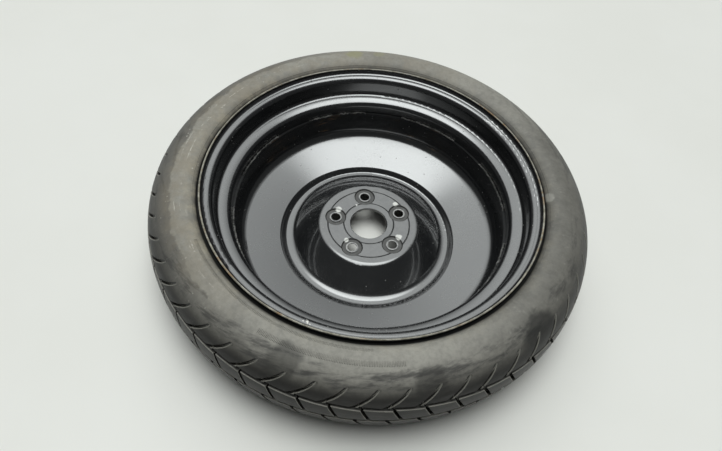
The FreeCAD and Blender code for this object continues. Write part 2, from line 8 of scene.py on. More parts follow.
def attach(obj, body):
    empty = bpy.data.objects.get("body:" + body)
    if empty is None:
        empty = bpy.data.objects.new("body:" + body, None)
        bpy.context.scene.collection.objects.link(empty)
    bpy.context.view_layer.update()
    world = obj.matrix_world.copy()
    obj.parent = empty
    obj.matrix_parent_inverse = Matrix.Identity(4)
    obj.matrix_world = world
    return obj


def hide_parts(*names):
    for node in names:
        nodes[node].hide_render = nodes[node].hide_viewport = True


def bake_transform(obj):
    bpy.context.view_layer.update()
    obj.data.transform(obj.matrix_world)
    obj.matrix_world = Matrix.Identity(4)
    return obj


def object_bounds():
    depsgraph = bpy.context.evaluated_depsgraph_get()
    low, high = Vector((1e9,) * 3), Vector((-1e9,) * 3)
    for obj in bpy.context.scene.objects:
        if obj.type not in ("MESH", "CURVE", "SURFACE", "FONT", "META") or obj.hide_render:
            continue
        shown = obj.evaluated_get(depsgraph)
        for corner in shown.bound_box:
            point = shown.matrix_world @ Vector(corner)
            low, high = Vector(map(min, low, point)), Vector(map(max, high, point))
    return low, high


# Spare wheel: finishes, tread, small moulded and welded detail, floor, light and camera.
# Metres. Z is the wheel's axis, inboard side up, and z = 0 is the rim's mid-plane.

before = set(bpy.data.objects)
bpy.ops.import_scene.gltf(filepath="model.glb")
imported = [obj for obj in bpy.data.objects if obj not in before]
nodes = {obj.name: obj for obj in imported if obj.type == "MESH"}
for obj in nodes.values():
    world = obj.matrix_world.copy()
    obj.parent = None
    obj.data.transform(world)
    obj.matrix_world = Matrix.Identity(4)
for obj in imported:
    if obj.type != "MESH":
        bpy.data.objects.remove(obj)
cad_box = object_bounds()
scene = bpy.context.scene

# Camera
PICTURE_WIDTH = 722
SENSOR_MM = 36.0
FOCAL_PIXELS = 580.0
SHIFT_PIXELS = 40.0
CAMERA_PLACE = Vector((0.0, -0.51613, 0.65939))
CAMERA_RIGHT = Vector((0.990653, 0.116685, 0.070647))
CAMERA_UP = Vector((-0.136365, 0.834665, 0.533609))

# Rim and disc
LIP_RADIUS = 0.2288           # where the rim's bare lip begins
LIP_HEIGHT = 0.0596
LEDGE_INNER = 0.1965          # rim's ledge, which swells a little between these radii
LEDGE_OUTER = 0.2118
LEDGE_SWELL = 0.0007
STEP_INNER = 0.1215           # disc's rounded step from the valley up to the flat ring
STEP_OUTER = 0.1314
STEP_RISE = 0.0042
DISC_EDGE = 0.184             # where the disc turns up to its welded edge
WELD_RADIUS = 0.1931
WELD_HEIGHT = 0.0052
WELD_COUNT = 8
WELD_ARC_DEG = 27.0
WELD_FIRST_DEG = 9.0
WELD_RIPPLES = 56             # lumps along one weld
WELD_LUMP = (0.0026, 0.0024, 0.0020)
WELD_LEAN_DEG = 45.0
WELD_JITTER = 0.0008

LUG_CIRCLE = 0.050
LUG_COUNT = 5
LUG_FIRST_DEG = 103.5

# Chipped places on the flange, and painted highlights on the hub: point and size
FLANGE_NICKS = (
    ((-0.0560, -0.2125, 0.0535), 0.0016),
    ((-0.0552, -0.2150, 0.0535), 0.0018),
    ((-0.0546, -0.2172, 0.0535), 0.0015),
    ((-0.0600, -0.2150, 0.0535), 0.0012),
    ((-0.0515, -0.2185, 0.0535), 0.0010),
)
HUB_GLINT_SPOTS = (
    ((-0.0474, 0.0185, -0.0308), 0.0056),
    ((0.0360, 0.0429, -0.0305), 0.0046),
    ((0.0462, -0.0175, -0.0305), 0.0056),
    ((-0.0291, -0.0350, -0.0310), 0.0042),
    ((-0.0220, 0.0310, -0.0305), 0.0018),
    ((0.0310, 0.0250, -0.0305), 0.0016),
    ((-0.0150, -0.0480, -0.0305), 0.0018),
)

# Tyre marks: place, size, strength and colour (two yellowish, one pale, three dark)
TYRE_MARKS = (
    ((-0.0583, 0.2612, 0.060), 0.016, 0.45, (0.30, 0.29, 0.12)),
    ((-0.0200, 0.2680, 0.059), 0.012, 0.30, (0.30, 0.29, 0.14)),
    ((0.2362, 0.0177, 0.060), 0.010, 0.50, (0.40, 0.39, 0.35)),
    ((0.2199, -0.1829, 0.050), 0.034, 0.75, (0.026, 0.026, 0.025)),
    ((0.0921, -0.2708, 0.050), 0.026, 0.60, (0.030, 0.029, 0.027)),
    ((-0.0700, -0.2700, 0.050), 0.030, 0.55, (0.034, 0.033, 0.030)),
)

# Colours of the tyre
RUBBER_DARK = (0.009, 0.0085, 0.0078)
RUBBER_LIGHT = (0.024, 0.0228, 0.021)
GREY_FILM = (0.360, 0.346, 0.306)
RUBBED_BAND = (0.062, 0.060, 0.058)
SMEAR = (0.045, 0.044, 0.042)
SCUFF = (0.40, 0.385, 0.35)
EARTH = (0.255, 0.215, 0.155)
BEAD_DUST = (0.40, 0.36, 0.275)
TYRE_SCRATCH = (0.62, 0.59, 0.52)
TYRE_SPECK = (0.62, 0.60, 0.54)
WORN_EDGE_AND_HIGHLIGHT = (0.34, 0.33, 0.29)
GAP_SHADE = (0.006, 0.006, 0.0055)

# Colours of the painted steel
BLACK = (0.0065, 0.0070, 0.0078)
PAINT_DUST = (0.055, 0.056, 0.055)
PAINT_SCRATCH = (0.34, 0.34, 0.32)
RUBBED_HUB = (0.060, 0.061, 0.060)
HUB_POCKET_DARK = (0.040, 0.038, 0.034)
LIGHT_COLLAR = (0.30, 0.295, 0.28)
HUB_GLINT = (0.80, 0.80, 0.76)
EDGE_REFLECTION = (0.20, 0.125, 0.065)
BARE_LIP = ((0.26, 0.24, 0.185), (0.50, 0.475, 0.40))
LIP_RUST = (0.27, 0.150, 0.052)
FLANGE_NICK = (0.80, 0.79, 0.74)

# Tyre section, as the arcs that it follows; the bead's points run down its back to the toe and up inside
TYRE_RADIUS = 0.306
CROWN_RADIUS = 0.095
CROWN_HALF = 0.026
SIDEWALL_RADIUS = 0.05163
SIDEWALL_MIDDLE = (0.25278, 0.01187)
BEAD_ARC_RADIUS = 0.022
BEAD_ARC_HEIGHT = 0.0415
BEAD_ARC_END_DEG = 145.0
BEAD_BACK = (
    (0.22981, 0.05242), (0.22747, 0.05107), (0.22480, 0.05060), (0.22380, 0.05060), (0.21988, 0.04908),
    (0.21802, 0.04531), (0.21704, 0.03410), (0.23240, 0.03860), (0.25278, 0.05700), (0.27832, 0.04569),
    (0.29090, 0.02272),
)
LINER_RADIUS = 0.294
CROWN_STEPS = 8
SIDEWALL_STEPS = 18
BEAD_STEPS = 8

# Tread pattern
PITCH_COUNT = 51
PITCH_STEPS = 6
TREAD_FIRST_DEG = 6.1
CUTTER_TOP = 0.309            # cutters start above the crown
GROOVE_Z = 0.027              # middle of each shoulder ring groove
GROOVE_WIDTH = 0.0052
GROOVE_DEPTH = 0.0052
GROOVE_TOOTH = 0.0026         # saw-tooth drop along one pitch
MIDDLE_GROOVE_WIDTH = 0.0050
MIDDLE_GROOVE_DEPTH = 0.0066
CROSS_SLOT_WIDTH = 0.0044
CROSS_SLOT_DEPTH = 0.0044
CROSS_SLOT_LEAN = 0.0125      # how far a cross slot runs round the tyre
SHOULDER_SLOT_WIDTH = 0.0072  # where it leaves the ring groove
SHOULDER_SLOT_TIP = 0.0038
SHOULDER_SLOT_LEAN = 0.028
SHOULDER_SLOT_BOW = 0.003
SHOULDER_SLOT_DEPTH = 0.0052
SHOULDER_SLOT_END_Z = 0.051
SHOULDER_SLOT_STEPS = 6
SLOT_TO_CROSS = 0.0105        # from a shoulder slot's root to the next cross slot's head
WELD_DISTANCE = 0.00001       # points of two pitches this near become one
SHARP_EDGE_DEG = 32.0

# Sidewall detail: one fine rib, and bands of radial lines as radius, first and last angle and length
SIDEWALL_RIB_RADIUS = 0.2405
SIDEWALL_RIB_THICKNESS = 0.0009
SIDEWALL_RIB_SINK = 0.0002
SERRATION_BANDS = (
    (0.2455, 212, 276, 0.0050),
    (0.2620, 246, 284, 0.0075),
)
SERRATIONS_PER_DEG = 2.5
SERRATION_WIDTH = 0.0011
SERRATION_THICKNESS = 0.0010
SERRATION_SINK = 0.0001

# Floor
FLOOR_HALF = 4.0
FLOOR_GAP = 0.0002
FLOOR_TINTS = ((0.80, 0.79, 0.745), (0.825, 0.815, 0.775))

# Room light: direction, half angles where a patch ends and where it is full, strength
ROOM_TINT = (0.955, 0.995, 0.99)
DIM_ROOM = 0.075
BRIGHT_PATCHES = (
    ((0.0, 0.06, 1.0), 25.0, 15.0, 4.2),
    ((-0.13, 0.527, 0.840), 42.0, 8.0, 1.75),
)

# Valve
VALVE_BASE = Vector((-0.156416, 0.133592, -0.0265))
VALVE_AXIS = Vector((0.380203, -0.324724, -0.866025))
THREAD_START = 0.0182
THREAD_LENGTH = 0.0072
THREAD_RADIUS = 0.0038
THREAD_PITCH = 0.0008
THREAD_RIDGE = 0.00042
COIL_STEPS = 28               # points along one turn of thread or coil
COIL_START = 0.01155
COIL_END = 0.0223
COIL_RADIUS = 0.0011
COIL_WIRE = 0.0003
COIL_TURNS = 4
CAP_START = 0.0182
CAP_LENGTH = 0.0088
CAP_RADIUS = 0.0049
CAP_RIBS = 28
CAP_RIB_DEPTH = 0.0007
CAP_RIB_WIDTH = 0.0006
CAP_RIB_SHARE = 0.86          # of the cap's length
SINK = 0.00005                # how far thread and ribs sit in what carries them


def feed(tree, socket, value):
    """Links a node's socket, or sets its value."""
    if isinstance(value, bpy.types.NodeSocket):
        tree.links.new(value, socket)
    else:
        socket.default_value = value


# Finishes

class Finish:
    """A node material with short calls for the nodes in front of its shader."""

    def __init__(self, name, **sockets):
        self.material = bpy.data.materials.new(name)
        self.material.use_nodes = True
        self.tree = self.material.node_tree
        self.shader = self.tree.nodes["Principled BSDF"]
        for label, value in sockets.items():
            self.shader.inputs[label.replace("_", " ").title().replace("Ior", "IOR")].default_value = value
        self.place = self.add("ShaderNodeTexCoord").outputs["Object"]
        parts = self.add("ShaderNodeSeparateXYZ", Vector=self.place)
        self.x, self.y, self.z = parts.outputs
        self.flat = self.add("ShaderNodeCombineXYZ", X=self.x, Y=self.y).outputs[0]
        self.radius = self.vector("LENGTH", self.flat).outputs["Value"]
        self.toward = self.vector("NORMALIZE", self.flat).outputs["Vector"]
        normal = self.add("ShaderNodeNewGeometry").outputs["Normal"]
        self.facing = self.add("ShaderNodeSeparateXYZ", Vector=normal).outputs["Z"]

    def add(self, kind, **inputs):
        node = self.tree.nodes.new(kind)
        for label, value in inputs.items():
            if label[0].islower():
                setattr(node, label, value)
        for label, value in inputs.items():
            if not label[0].islower():
                feed(self.tree, node.inputs[label.replace("_", " ")], value)
        return node

    def vector(self, operation, first, second=None, **inputs):
        node = self.add("ShaderNodeVectorMath", operation=operation, Vector=first, **inputs)
        if second is not None:
            feed(self.tree, node.inputs[1], second)
        return node

    def maths(self, operation, first, second=0.0, third=0.0):
        node = self.add("ShaderNodeMath", operation=operation)
        for socket, value in zip(node.inputs, (first, second, third)):
            feed(self.tree, socket, value)
        return node.outputs[0]

    def times(self, *values):
        result = values[0]
        for value in values[1:]:
            result = self.maths("MULTIPLY", result, value)
        return result

    def most(self, *values):
        result = values[0]
        for value in values[1:]:
            result = self.maths("MAXIMUM", result, value)
        return result

    def rise(self, value, low, high, start=0.0, end=1.0):
        """Goes smoothly from start to end while the value goes from low to high."""
        node = self.add("ShaderNodeMapRange", interpolation_type="SMOOTHSTEP", Value=value)
        if low > high:
            low, high, start, end = high, low, end, start
        for label, number in (("From Min", low), ("From Max", high), ("To Min", start), ("To Max", end)):
            node.inputs[label].default_value = number
        return node.outputs[0]

    def noise(self, scale, detail=3.0, roughness=0.55, vector=None):
        where = vector or self.place
        return self.add(
            "ShaderNodeTexNoise", Vector=where, Scale=scale, Detail=detail, Roughness=roughness,
        ).outputs[0]

    def cells(self, scale):
        """Distance to the nearest of scattered points, and each point's own random number."""
        node = self.add("ShaderNodeTexVoronoi", Vector=self.place, Scale=scale)
        own = self.add("ShaderNodeSeparateColor", Color=node.outputs["Color"]).outputs[0]
        return node.outputs["Distance"], own

    def side(self, degrees, low, high):
        """Fades in towards one side of the wheel."""
        way = (math.cos(math.radians(degrees)), math.sin(math.radians(degrees)), 0.0)
        return self.rise(self.vector("DOT_PRODUCT", self.toward, way).outputs["Value"], low, high)

    def rings(self, scale, stretch=0.02):
        """A vector for marks that run round the wheel."""
        around = self.vector("SCALE", self.toward, Scale=stretch).outputs[0]
        slope = self.maths("SUBTRACT", self.radius, self.z)
        lift = self.add("ShaderNodeCombineXYZ", X=self.radius, Y=self.z, Z=slope).outputs[0]
        total = self.vector("ADD", around, lift).outputs[0]
        return self.vector("SCALE", total, Scale=scale).outputs[0]

    def spokes(self, around, along):
        """A vector for marks that run outwards from the wheel's middle."""
        turn = self.vector("SCALE", self.toward, Scale=around).outputs[0]
        out = self.add("ShaderNodeCombineXYZ", Z=self.maths("MULTIPLY", self.radius, along)).outputs[0]
        return self.vector("ADD", turn, out).outputs[0]

    def spot(self, point, size, ragged):
        """A ragged mark at one place."""
        reach = self.vector("DISTANCE", self.place, point).outputs["Value"]
        edge = self.maths("MULTIPLY_ADD", self.noise(0.9 / size, 3.0), 2 * ragged * size, -ragged * size)
        return self.rise(self.maths("ADD", reach, edge), size, 0.6 * size)

    def nearest(self, points):
        """Distance on plan to the nearest of the points."""
        found = None
        for point in points:
            reach = self.vector("DISTANCE", self.flat, point).outputs["Value"]
            found = reach if found is None else self.maths("MINIMUM", found, reach)
        return found

    def upper_edges(self, width):
        """Finds edges whose rounding turns upwards."""
        rounded = self.add("ShaderNodeBevel", samples=6, Radius=width).outputs[0]
        up = self.add("ShaderNodeSeparateXYZ", Vector=rounded).outputs["Z"]
        return self.maths("SUBTRACT", up, self.facing)

    def blend(self, amount, first, second):
        node = self.add("ShaderNodeMix", data_type="RGBA")
        feed(self.tree, node.inputs[0], amount)
        for socket, value in ((node.inputs[6], first), (node.inputs[7], second)):
            if isinstance(value, tuple):
                value = (*value, 1.0)
            feed(self.tree, socket, value)
        return node.outputs[2]

    def vary(self, amount, first, second):
        node = self.add("ShaderNodeMix", data_type="FLOAT")
        for socket, value in zip((node.inputs[0], node.inputs[2], node.inputs[3]), (amount, first, second)):
            feed(self.tree, socket, value)
        return node.outputs[0]

    def set(self, label, value):
        feed(self.tree, self.shader.inputs[label], value)

    def swell(self, low, high, height):
        """A rounded swelling of the sheet between two radii."""
        share = self.add("ShaderNodeMapRange", Value=self.radius)
        share.inputs["From Min"].default_value = low
        share.inputs["From Max"].default_value = high
        rest = self.maths("SUBTRACT", 1.0, share.outputs[0])
        return self.times(share.outputs[0], rest, 4 * height)

    def bump(self, height, distance):
        node = self.add("ShaderNodeBump", Height=height, Distance=distance, Strength=1.0)
        self.set("Normal", node.outputs[0])
        self.set("Coat Normal", node.outputs[0])


def worn_tyre_rubber():
    """Black rubber under a grey film, with a rubbed band, smears, dust, scratches and marks."""
    f = Finish("worn_tyre_rubber", specular_ior_level=0.3)
    cloudy = f.noise(11.0, 5.0, 0.6)
    patchy = f.noise(36.0, 6.0, 0.7)
    fine = f.noise(150.0, 4.0, 0.65)
    round_marks = f.noise(1.0, 4.0, 0.6, f.rings(260.0))
    cross_marks = f.noise(1.0, 3.0, 0.6, f.spokes(70.0, 70.0))
    smears = f.noise(1.0, 5.0, 0.65, f.rings(62.0, 0.12))
    near_bead = f.rise(f.radius, 0.262, 0.238)
    dusty_side = f.side(172.0, 0.15, 0.95)
    far_side = f.side(108.0, 0.5, 1.0)
    front_side = f.side(262.0, -0.3, 0.6)
    clear_side = f.side(-8.0, 0.45, 1.0)
    upward = f.rise(f.facing, 0.50, 0.97)

    # Depth below the sidewall's arc, which finds the slots in the shoulder, where the film thins as painted
    # shade
    out = f.maths("SUBTRACT", f.radius, SIDEWALL_MIDDLE[0])
    high = f.maths("SUBTRACT", f.maths("ABSOLUTE", f.z), SIDEWALL_MIDDLE[1])
    reach = f.maths("SQRT", f.maths("ADD", f.times(out, out), f.times(high, high)))
    depth = f.maths("SUBTRACT", SIDEWALL_RADIUS, reach)
    slot_shade = f.times(f.rise(depth, 0.0004, 0.0014), f.rise(f.radius, 0.274, 0.280))

    clean = f.blend(f.rise(cloudy, 0.3, 0.7), RUBBER_DARK, RUBBER_LIGHT)
    film = f.times(upward, f.rise(cloudy, 0.22, 0.62, 0.66, 1.0), f.rise(fine, 0.25, 0.7, 0.76, 1.0))
    # The film thins in the shoulder slots: painted shade in the slots
    film = f.times(film, f.vary(clear_side, 1.0, 0.52), f.vary(slot_shade, 1.0, 0.15))
    colour = f.blend(f.times(film, 0.94), clean, GREY_FILM)

    # Dark rubbed band towards the shoulder, with a ragged edge
    edge = f.maths("MULTIPLY_ADD", f.maths("SUBTRACT", patchy, 0.5), 0.026, f.radius)
    rubbed = f.times(f.rise(edge, 0.266, 0.270), f.rise(f.radius, 0.296, 0.284))
    rubbed = f.times(rubbed, f.most(dusty_side, f.times(front_side, f.rise(smears, 0.40, 0.62))))
    colour = f.blend(f.times(rubbed, 0.62), colour, RUBBED_BAND)
    smeared = f.times(f.rise(smears, 0.50, 0.68), f.rise(f.radius, 0.260, 0.278), f.vary(far_side, 1.0, 0.35))
    colour = f.blend(f.times(smeared, 0.6), colour, SMEAR)

    # Dust, scuffs and pale scratches
    scuffs = f.times(f.rise(cross_marks, 0.54, 0.72), f.rise(round_marks, 0.42, 0.6), upward)
    colour = f.blend(f.times(scuffs, 0.22), colour, SCUFF)
    earth = f.times(f.rise(f.noise(24.0, 6.0, 0.7), 0.34, 0.62), f.rise(f.radius, 0.292, 0.264), upward)
    earth = f.times(earth, f.most(dusty_side, f.times(far_side, 0.75)))
    colour = f.blend(f.times(earth, 0.5), colour, EARTH)
    ring_dust = f.times(near_bead, f.rise(f.noise(60.0, 4.0, 0.7), 0.42, 0.68), f.vary(dusty_side, 0.3, 1.0))
    colour = f.blend(f.times(ring_dust, 0.55), colour, BEAD_DUST)
    band = f.times(f.rise(f.radius, 0.245, 0.251), f.rise(f.radius, 0.268, 0.261), dusty_side)
    scratched = f.times(f.rise(round_marks, 0.56, 0.66), f.rise(f.noise(70.0, 4.0, 0.7), 0.48, 0.60), band)
    colour = f.blend(f.times(scratched, 0.7), colour, TYRE_SCRATCH)
    gap, own = f.cells(260.0)
    specks = f.times(f.rise(gap, 0.34, 0.16), f.rise(own, 0.80, 0.82), f.vary(dusty_side, 0.05, 1.0), upward)
    specks = f.times(specks, f.rise(patchy, 0.53, 0.60))
    colour = f.blend(f.times(specks, 0.75), colour, TYRE_SPECK)
    for point, size, amount, tint in TYRE_MARKS:
        colour = f.blend(f.times(f.spot(point, size, 0.6), amount), colour, tint)

    # Upper edges of the tread's slots, lighter for wear and dust and as a painted highlight where their
    # rounding turns upwards; then painted shade in the gap beside the rim
    worn = f.times(f.rise(f.upper_edges(0.0022), 0.02, 0.14), f.rise(f.radius, 0.276, 0.282))
    colour = f.blend(f.times(worn, 0.8), colour, WORN_EDGE_AND_HIGHLIGHT)
    # Painted shade on the rubber in the gap beside the rim
    colour = f.blend(f.rise(f.radius, 0.2374, 0.2352), colour, GAP_SHADE)
    f.set("Base Color", colour)
    f.set("Roughness", f.vary(film, 0.42, 0.66))
    f.bump(f.maths("ADD", f.times(fine, 0.45), f.times(round_marks, 0.3)), 0.0004)
    return f.material


def wear_hub(f, colour, rough, dull):
    """Rubbed hub plate, darker pockets and lighter collars at the bolt holes, painted highlights on the hub,
    and painted reflection streaks on the disc's edge.
    """
    turns = [math.radians(LUG_FIRST_DEG + k * 360 / LUG_COUNT) for k in range(LUG_COUNT)]
    reach = f.nearest([(LUG_CIRCLE * math.cos(turn), LUG_CIRCLE * math.sin(turn), 0.0) for turn in turns])
    hub = f.rise(f.radius, 0.074, 0.066)
    rubbed = f.times(hub, f.rise(f.noise(70.0, 5.0, 0.65), 0.36, 0.66))
    colour = f.blend(f.times(rubbed, 0.7), colour, RUBBED_HUB)
    # Darker pocket and lighter collar round each bolt hole
    darker_pocket = f.times(f.rise(reach, 0.0086, 0.0094), f.rise(reach, 0.0160, 0.0146), hub)
    darker_pocket = f.times(darker_pocket, f.rise(f.noise(90.0, 4.0, 0.65), 0.22, 0.48, 0.6, 1.0))
    collar = f.times(f.rise(reach, 0.0092, 0.0084), f.rise(f.noise(130.0, 3.0), 0.36, 0.56), hub)
    colour = f.blend(f.times(darker_pocket, 0.8), colour, HUB_POCKET_DARK)
    colour = f.blend(f.times(collar, 0.75), colour, LIGHT_COLLAR)
    rough = f.vary(f.most(rubbed, darker_pocket), rough, 0.42)
    dull = f.most(dull, f.times(darker_pocket, 0.75), f.times(hub, 0.12))
    # Painted highlights: near-white spots on the hub beside the bolt holes, which also lose their gloss
    for point, size in HUB_GLINT_SPOTS:
        glint = f.spot(point, size, 0.45)
        colour = f.blend(f.times(glint, 0.95), colour, HUB_GLINT)
        dull = f.most(dull, glint)
    top_edge = f.times(f.rise(f.radius, DISC_EDGE, DISC_EDGE + 0.003), f.rise(f.z, 0.0020, 0.0032))
    dull = f.most(dull, f.times(top_edge, 0.95))
    # Painted reflection: brownish streaks on the far side of the disc's upturned edge
    runs = f.noise(1.0, 3.0, 0.6, f.rings(190.0, 0.03))
    reflection_streak = f.times(f.rise(f.radius, DISC_EDGE + 0.004, DISC_EDGE + 0.006), f.rise(runs, 0.5, 0.62))
    reflection_streak = f.times(reflection_streak, f.rise(f.noise(16.0, 3.0, 0.6), 0.50, 0.62), f.side(100.0, 0.5, 0.85))
    colour = f.blend(f.times(reflection_streak, 0.75), colour, EDGE_REFLECTION)
    return colour, rough, dull


def wear_lip(f, colour, dull):
    """Bare and rusty lip of the flange, and nicks in its paint."""
    edge = f.times(
        f.rise(f.radius, LIP_RADIUS, LIP_RADIUS + 0.0010), f.rise(f.z, LIP_HEIGHT, LIP_HEIGHT + 0.0012),
    )
    bare = f.blend(f.rise(f.noise(120.0, 4.0), 0.35, 0.65), *BARE_LIP)
    worn = f.times(edge, f.rise(f.noise(40.0, 5.0, 0.7), 0.30, 0.56, 0.5, 1.0))
    colour = f.blend(f.times(worn, 0.9), colour, bare)
    rusty = f.times(f.rise(f.noise(21.0, 5.0, 0.7), 0.52, 0.62), f.rise(f.noise(150.0, 3.0), 0.36, 0.56))
    colour = f.blend(f.times(edge, rusty, 0.85), colour, LIP_RUST)
    dull = f.most(dull, worn)
    for point, size in FLANGE_NICKS:
        nick = f.spot(point, size, 0.5)
        colour = f.blend(nick, colour, FLANGE_NICK)
        dull = f.most(dull, nick)
    return colour, dull


def black_paint(name, rusty_lip=False, worn_hub=False):
    """Gloss black paint with dust and fine scratches; it loses its gloss where it is dull."""
    f = Finish(name, coat_roughness=0.075, coat_ior=1.75)
    upward = f.rise(f.facing, 0.35, 0.95)
    dust = f.times(f.rise(f.noise(13.0, 5.0, 0.6), 0.40, 0.72), f.rise(f.noise(240.0, 3.0, 0.6), 0.3, 0.7))
    dust = f.times(dust, upward)
    colour = f.blend(f.times(dust, 0.45), BLACK, PAINT_DUST)
    wiped = f.noise(1.0, 4.0, 0.65, f.rings(420.0, 0.05))
    scratches = f.times(f.rise(wiped, 0.635, 0.66), f.rise(f.noise(23.0, 3.0), 0.56, 0.64))
    gap, own = f.cells(230.0)
    specks = f.times(f.rise(gap, 0.26, 0.15), f.rise(own, 0.960, 0.966))
    marks = f.most(f.times(scratches, 0.45), specks)
    colour = f.blend(f.times(marks, 0.5), colour, PAINT_SCRATCH)
    rough = f.vary(marks, f.vary(dust, 0.24, 0.34), 0.5)
    dull = f.times(marks, 0.6)
    pressed = 0.0
    if worn_hub:
        pressed = f.rise(f.radius, STEP_INNER, STEP_OUTER, 0.0, STEP_RISE)
        colour, rough, dull = wear_hub(f, colour, rough, dull)
    if rusty_lip:
        pressed = f.swell(LEDGE_INNER, LEDGE_OUTER, LEDGE_SWELL)
        colour, dull = wear_lip(f, colour, dull)
    f.set("Base Color", colour)
    f.set("Roughness", f.vary(dull, rough, 0.65))
    f.set("Coat Weight", f.vary(dull, 1.0, 0.0))
    f.set("Specular IOR Level", f.vary(dull, 0.9, 0.35))
    grain = f.maths("MULTIPLY_ADD", f.noise(300.0, 2.0), 0.000003, f.times(marks, -0.00003))
    f.bump(f.maths("ADD", grain, pressed), 1.0)
    return f.material


def plain_finish(name, first, second, scale, rough, **sockets):
    """A finish with soft variation of colour and roughness."""
    f = Finish(name, **sockets)
    cloud = f.noise(scale, 4.0, 0.6)
    f.set("Base Color", f.blend(f.rise(cloud, 0.3, 0.7), first, second))
    f.set("Roughness", f.vary(f.noise(3 * scale, 3.0), rough[0], rough[1]))
    f.bump(f.noise(6 * scale, 3.0), 0.0001)
    return f.material


TYRE_RUBBER = worn_tyre_rubber()
RIM_PAINT = black_paint("rim_paint", rusty_lip=True)
DISC_PAINT = black_paint("disc_paint", worn_hub=True)
WELD_PAINT = plain_finish("painted_weld", (0.006, 0.006, 0.006), (0.30, 0.295, 0.28), 60.0, (0.30, 0.55))
VALVE_RUBBER = plain_finish("valve_rubber", (0.018, 0.018, 0.018), (0.035, 0.034, 0.033), 180.0, (0.55, 0.75))
CAP_PLASTIC = plain_finish("cap_plastic", (0.014, 0.014, 0.015), (0.026, 0.026, 0.026), 300.0, (0.38, 0.55))
BRASS = plain_finish("brass", (0.50, 0.36, 0.15), (0.66, 0.50, 0.24), 260.0, (0.22, 0.42), metallic=1.0)
CORE_STEEL = plain_finish(
    "core_steel", (0.42, 0.42, 0.41), (0.58, 0.57, 0.55), 400.0, (0.2, 0.38), metallic=1.0,
)

NODE_FINISH = {
    "tyre": TYRE_RUBBER,
    "rim": RIM_PAINT,
    "wheel_disc": DISC_PAINT,
    "weld_beads": WELD_PAINT,
    "valve_stem": VALVE_RUBBER,
    "valve_tube": BRASS,
    "core_barrel": BRASS,
    "core_gasket": VALVE_RUBBER,
    "core_pin": CORE_STEEL,
    "pin_seal": VALVE_RUBBER,
    "core_spring": CORE_STEEL,
    "valve_cap": CAP_PLASTIC,
    "cap_gasket": VALVE_RUBBER,
}
for name, finish in NODE_FINISH.items():
    mesh = nodes[name].data
    mesh.materials.clear()
    mesh.materials.append(finish)


# Shapes that repeat or follow a path

def new_tree(name, inputs):
    """A geometry tree with named inputs; returns the tree and its two end nodes."""
    tree = bpy.data.node_groups.new(name, "GeometryNodeTree")
    tree.interface.new_socket("Geometry", in_out="INPUT", socket_type="NodeSocketGeometry")
    tree.interface.new_socket("Geometry", in_out="OUTPUT", socket_type="NodeSocketGeometry")
    for label, kind in inputs.items():
        tree.interface.new_socket(label, in_out="INPUT", socket_type="NodeSocket" + kind)
    return tree, tree.nodes.new("NodeGroupInput").outputs, tree.nodes.new("NodeGroupOutput").inputs


def node(tree, kind, settings=None, **inputs):
    """Adds a node to a tree, with its settings and inputs."""
    made = tree.nodes.new(kind)
    for label, value in (settings or {}).items():
        setattr(made, label, value)
    for label, value in inputs.items():
        feed(tree, made.inputs[label.replace("_", " ")], value)
    return made


def tree_maths(tree, operation, first, second=0.0):
    made = tree.nodes.new("ShaderNodeMath")
    made.operation = operation
    feed(tree, made.inputs[0], first)
    feed(tree, made.inputs[1], second)
    return made.outputs[0]


def close_tree(tree, shape, given, end):
    """Smooth shading, real geometry and the material, then the tree's output."""
    smooth = node(tree, "GeometryNodeSetShadeSmooth", Geometry=shape).outputs[0]
    real = node(tree, "GeometryNodeRealizeInstances", Geometry=smooth).outputs[0]
    painted = node(tree, "GeometryNodeSetMaterial", Geometry=real, Material=given["Material"]).outputs[0]
    tree.links.new(painted, end["Geometry"])
    return tree


def row_of_lumps():
    """Rounded lumps along an arc about the wheel's axis, each one a flattened ball."""
    tree, given, end = new_tree("row_of_lumps", {
        "Count": "Int", "Radius": "Float", "Height": "Float", "First Angle": "Float", "Step": "Float",
        "Size": "Vector", "Tilt": "Float", "Jitter": "Float", "Seed": "Int", "Sides": "Int", "Rings": "Int",
        "Material": "Material",
    })
    index = node(tree, "GeometryNodeInputIndex").outputs[0]
    angle = tree_maths(tree, "ADD", given["First Angle"], tree_maths(tree, "MULTIPLY", index, given["Step"]))
    across = tree_maths(tree, "MULTIPLY", given["Radius"], tree_maths(tree, "COSINE", angle))
    along = tree_maths(tree, "MULTIPLY", given["Radius"], tree_maths(tree, "SINE", angle))
    place = node(tree, "ShaderNodeCombineXYZ", X=across, Y=along, Z=given["Height"]).outputs[0]
    spread = node(
        tree, "FunctionNodeRandomValue", {"data_type": "FLOAT_VECTOR"}, ID=index, Seed=given["Seed"],
    )
    spread.inputs[0].default_value = (-1.0, -1.0, -1.0)
    spread.inputs[1].default_value = (1.0, 1.0, 1.0)
    moved = node(
        tree, "ShaderNodeVectorMath", {"operation": "SCALE"}, Vector=spread.outputs[0], Scale=given["Jitter"],
    ).outputs[0]
    points = node(tree, "GeometryNodePoints", Count=given["Count"], Position=place).outputs[0]
    points = node(tree, "GeometryNodeSetPosition", Geometry=points, Offset=moved).outputs[0]
    ball = node(
        tree, "GeometryNodeMeshUVSphere", Segments=given["Sides"], Rings=given["Rings"], Radius=0.5,
    ).outputs[0]
    ball = node(tree, "GeometryNodeTransform", Geometry=ball, Scale=given["Size"]).outputs[0]
    turn = node(tree, "ShaderNodeCombineXYZ", Y=given["Tilt"], Z=angle).outputs[0]
    turn = node(tree, "FunctionNodeEulerToRotation", Euler=turn).outputs[0]
    row = node(tree, "GeometryNodeInstanceOnPoints", Points=points, Instance=ball, Rotation=turn).outputs[0]
    return close_tree(tree, row, given, end)


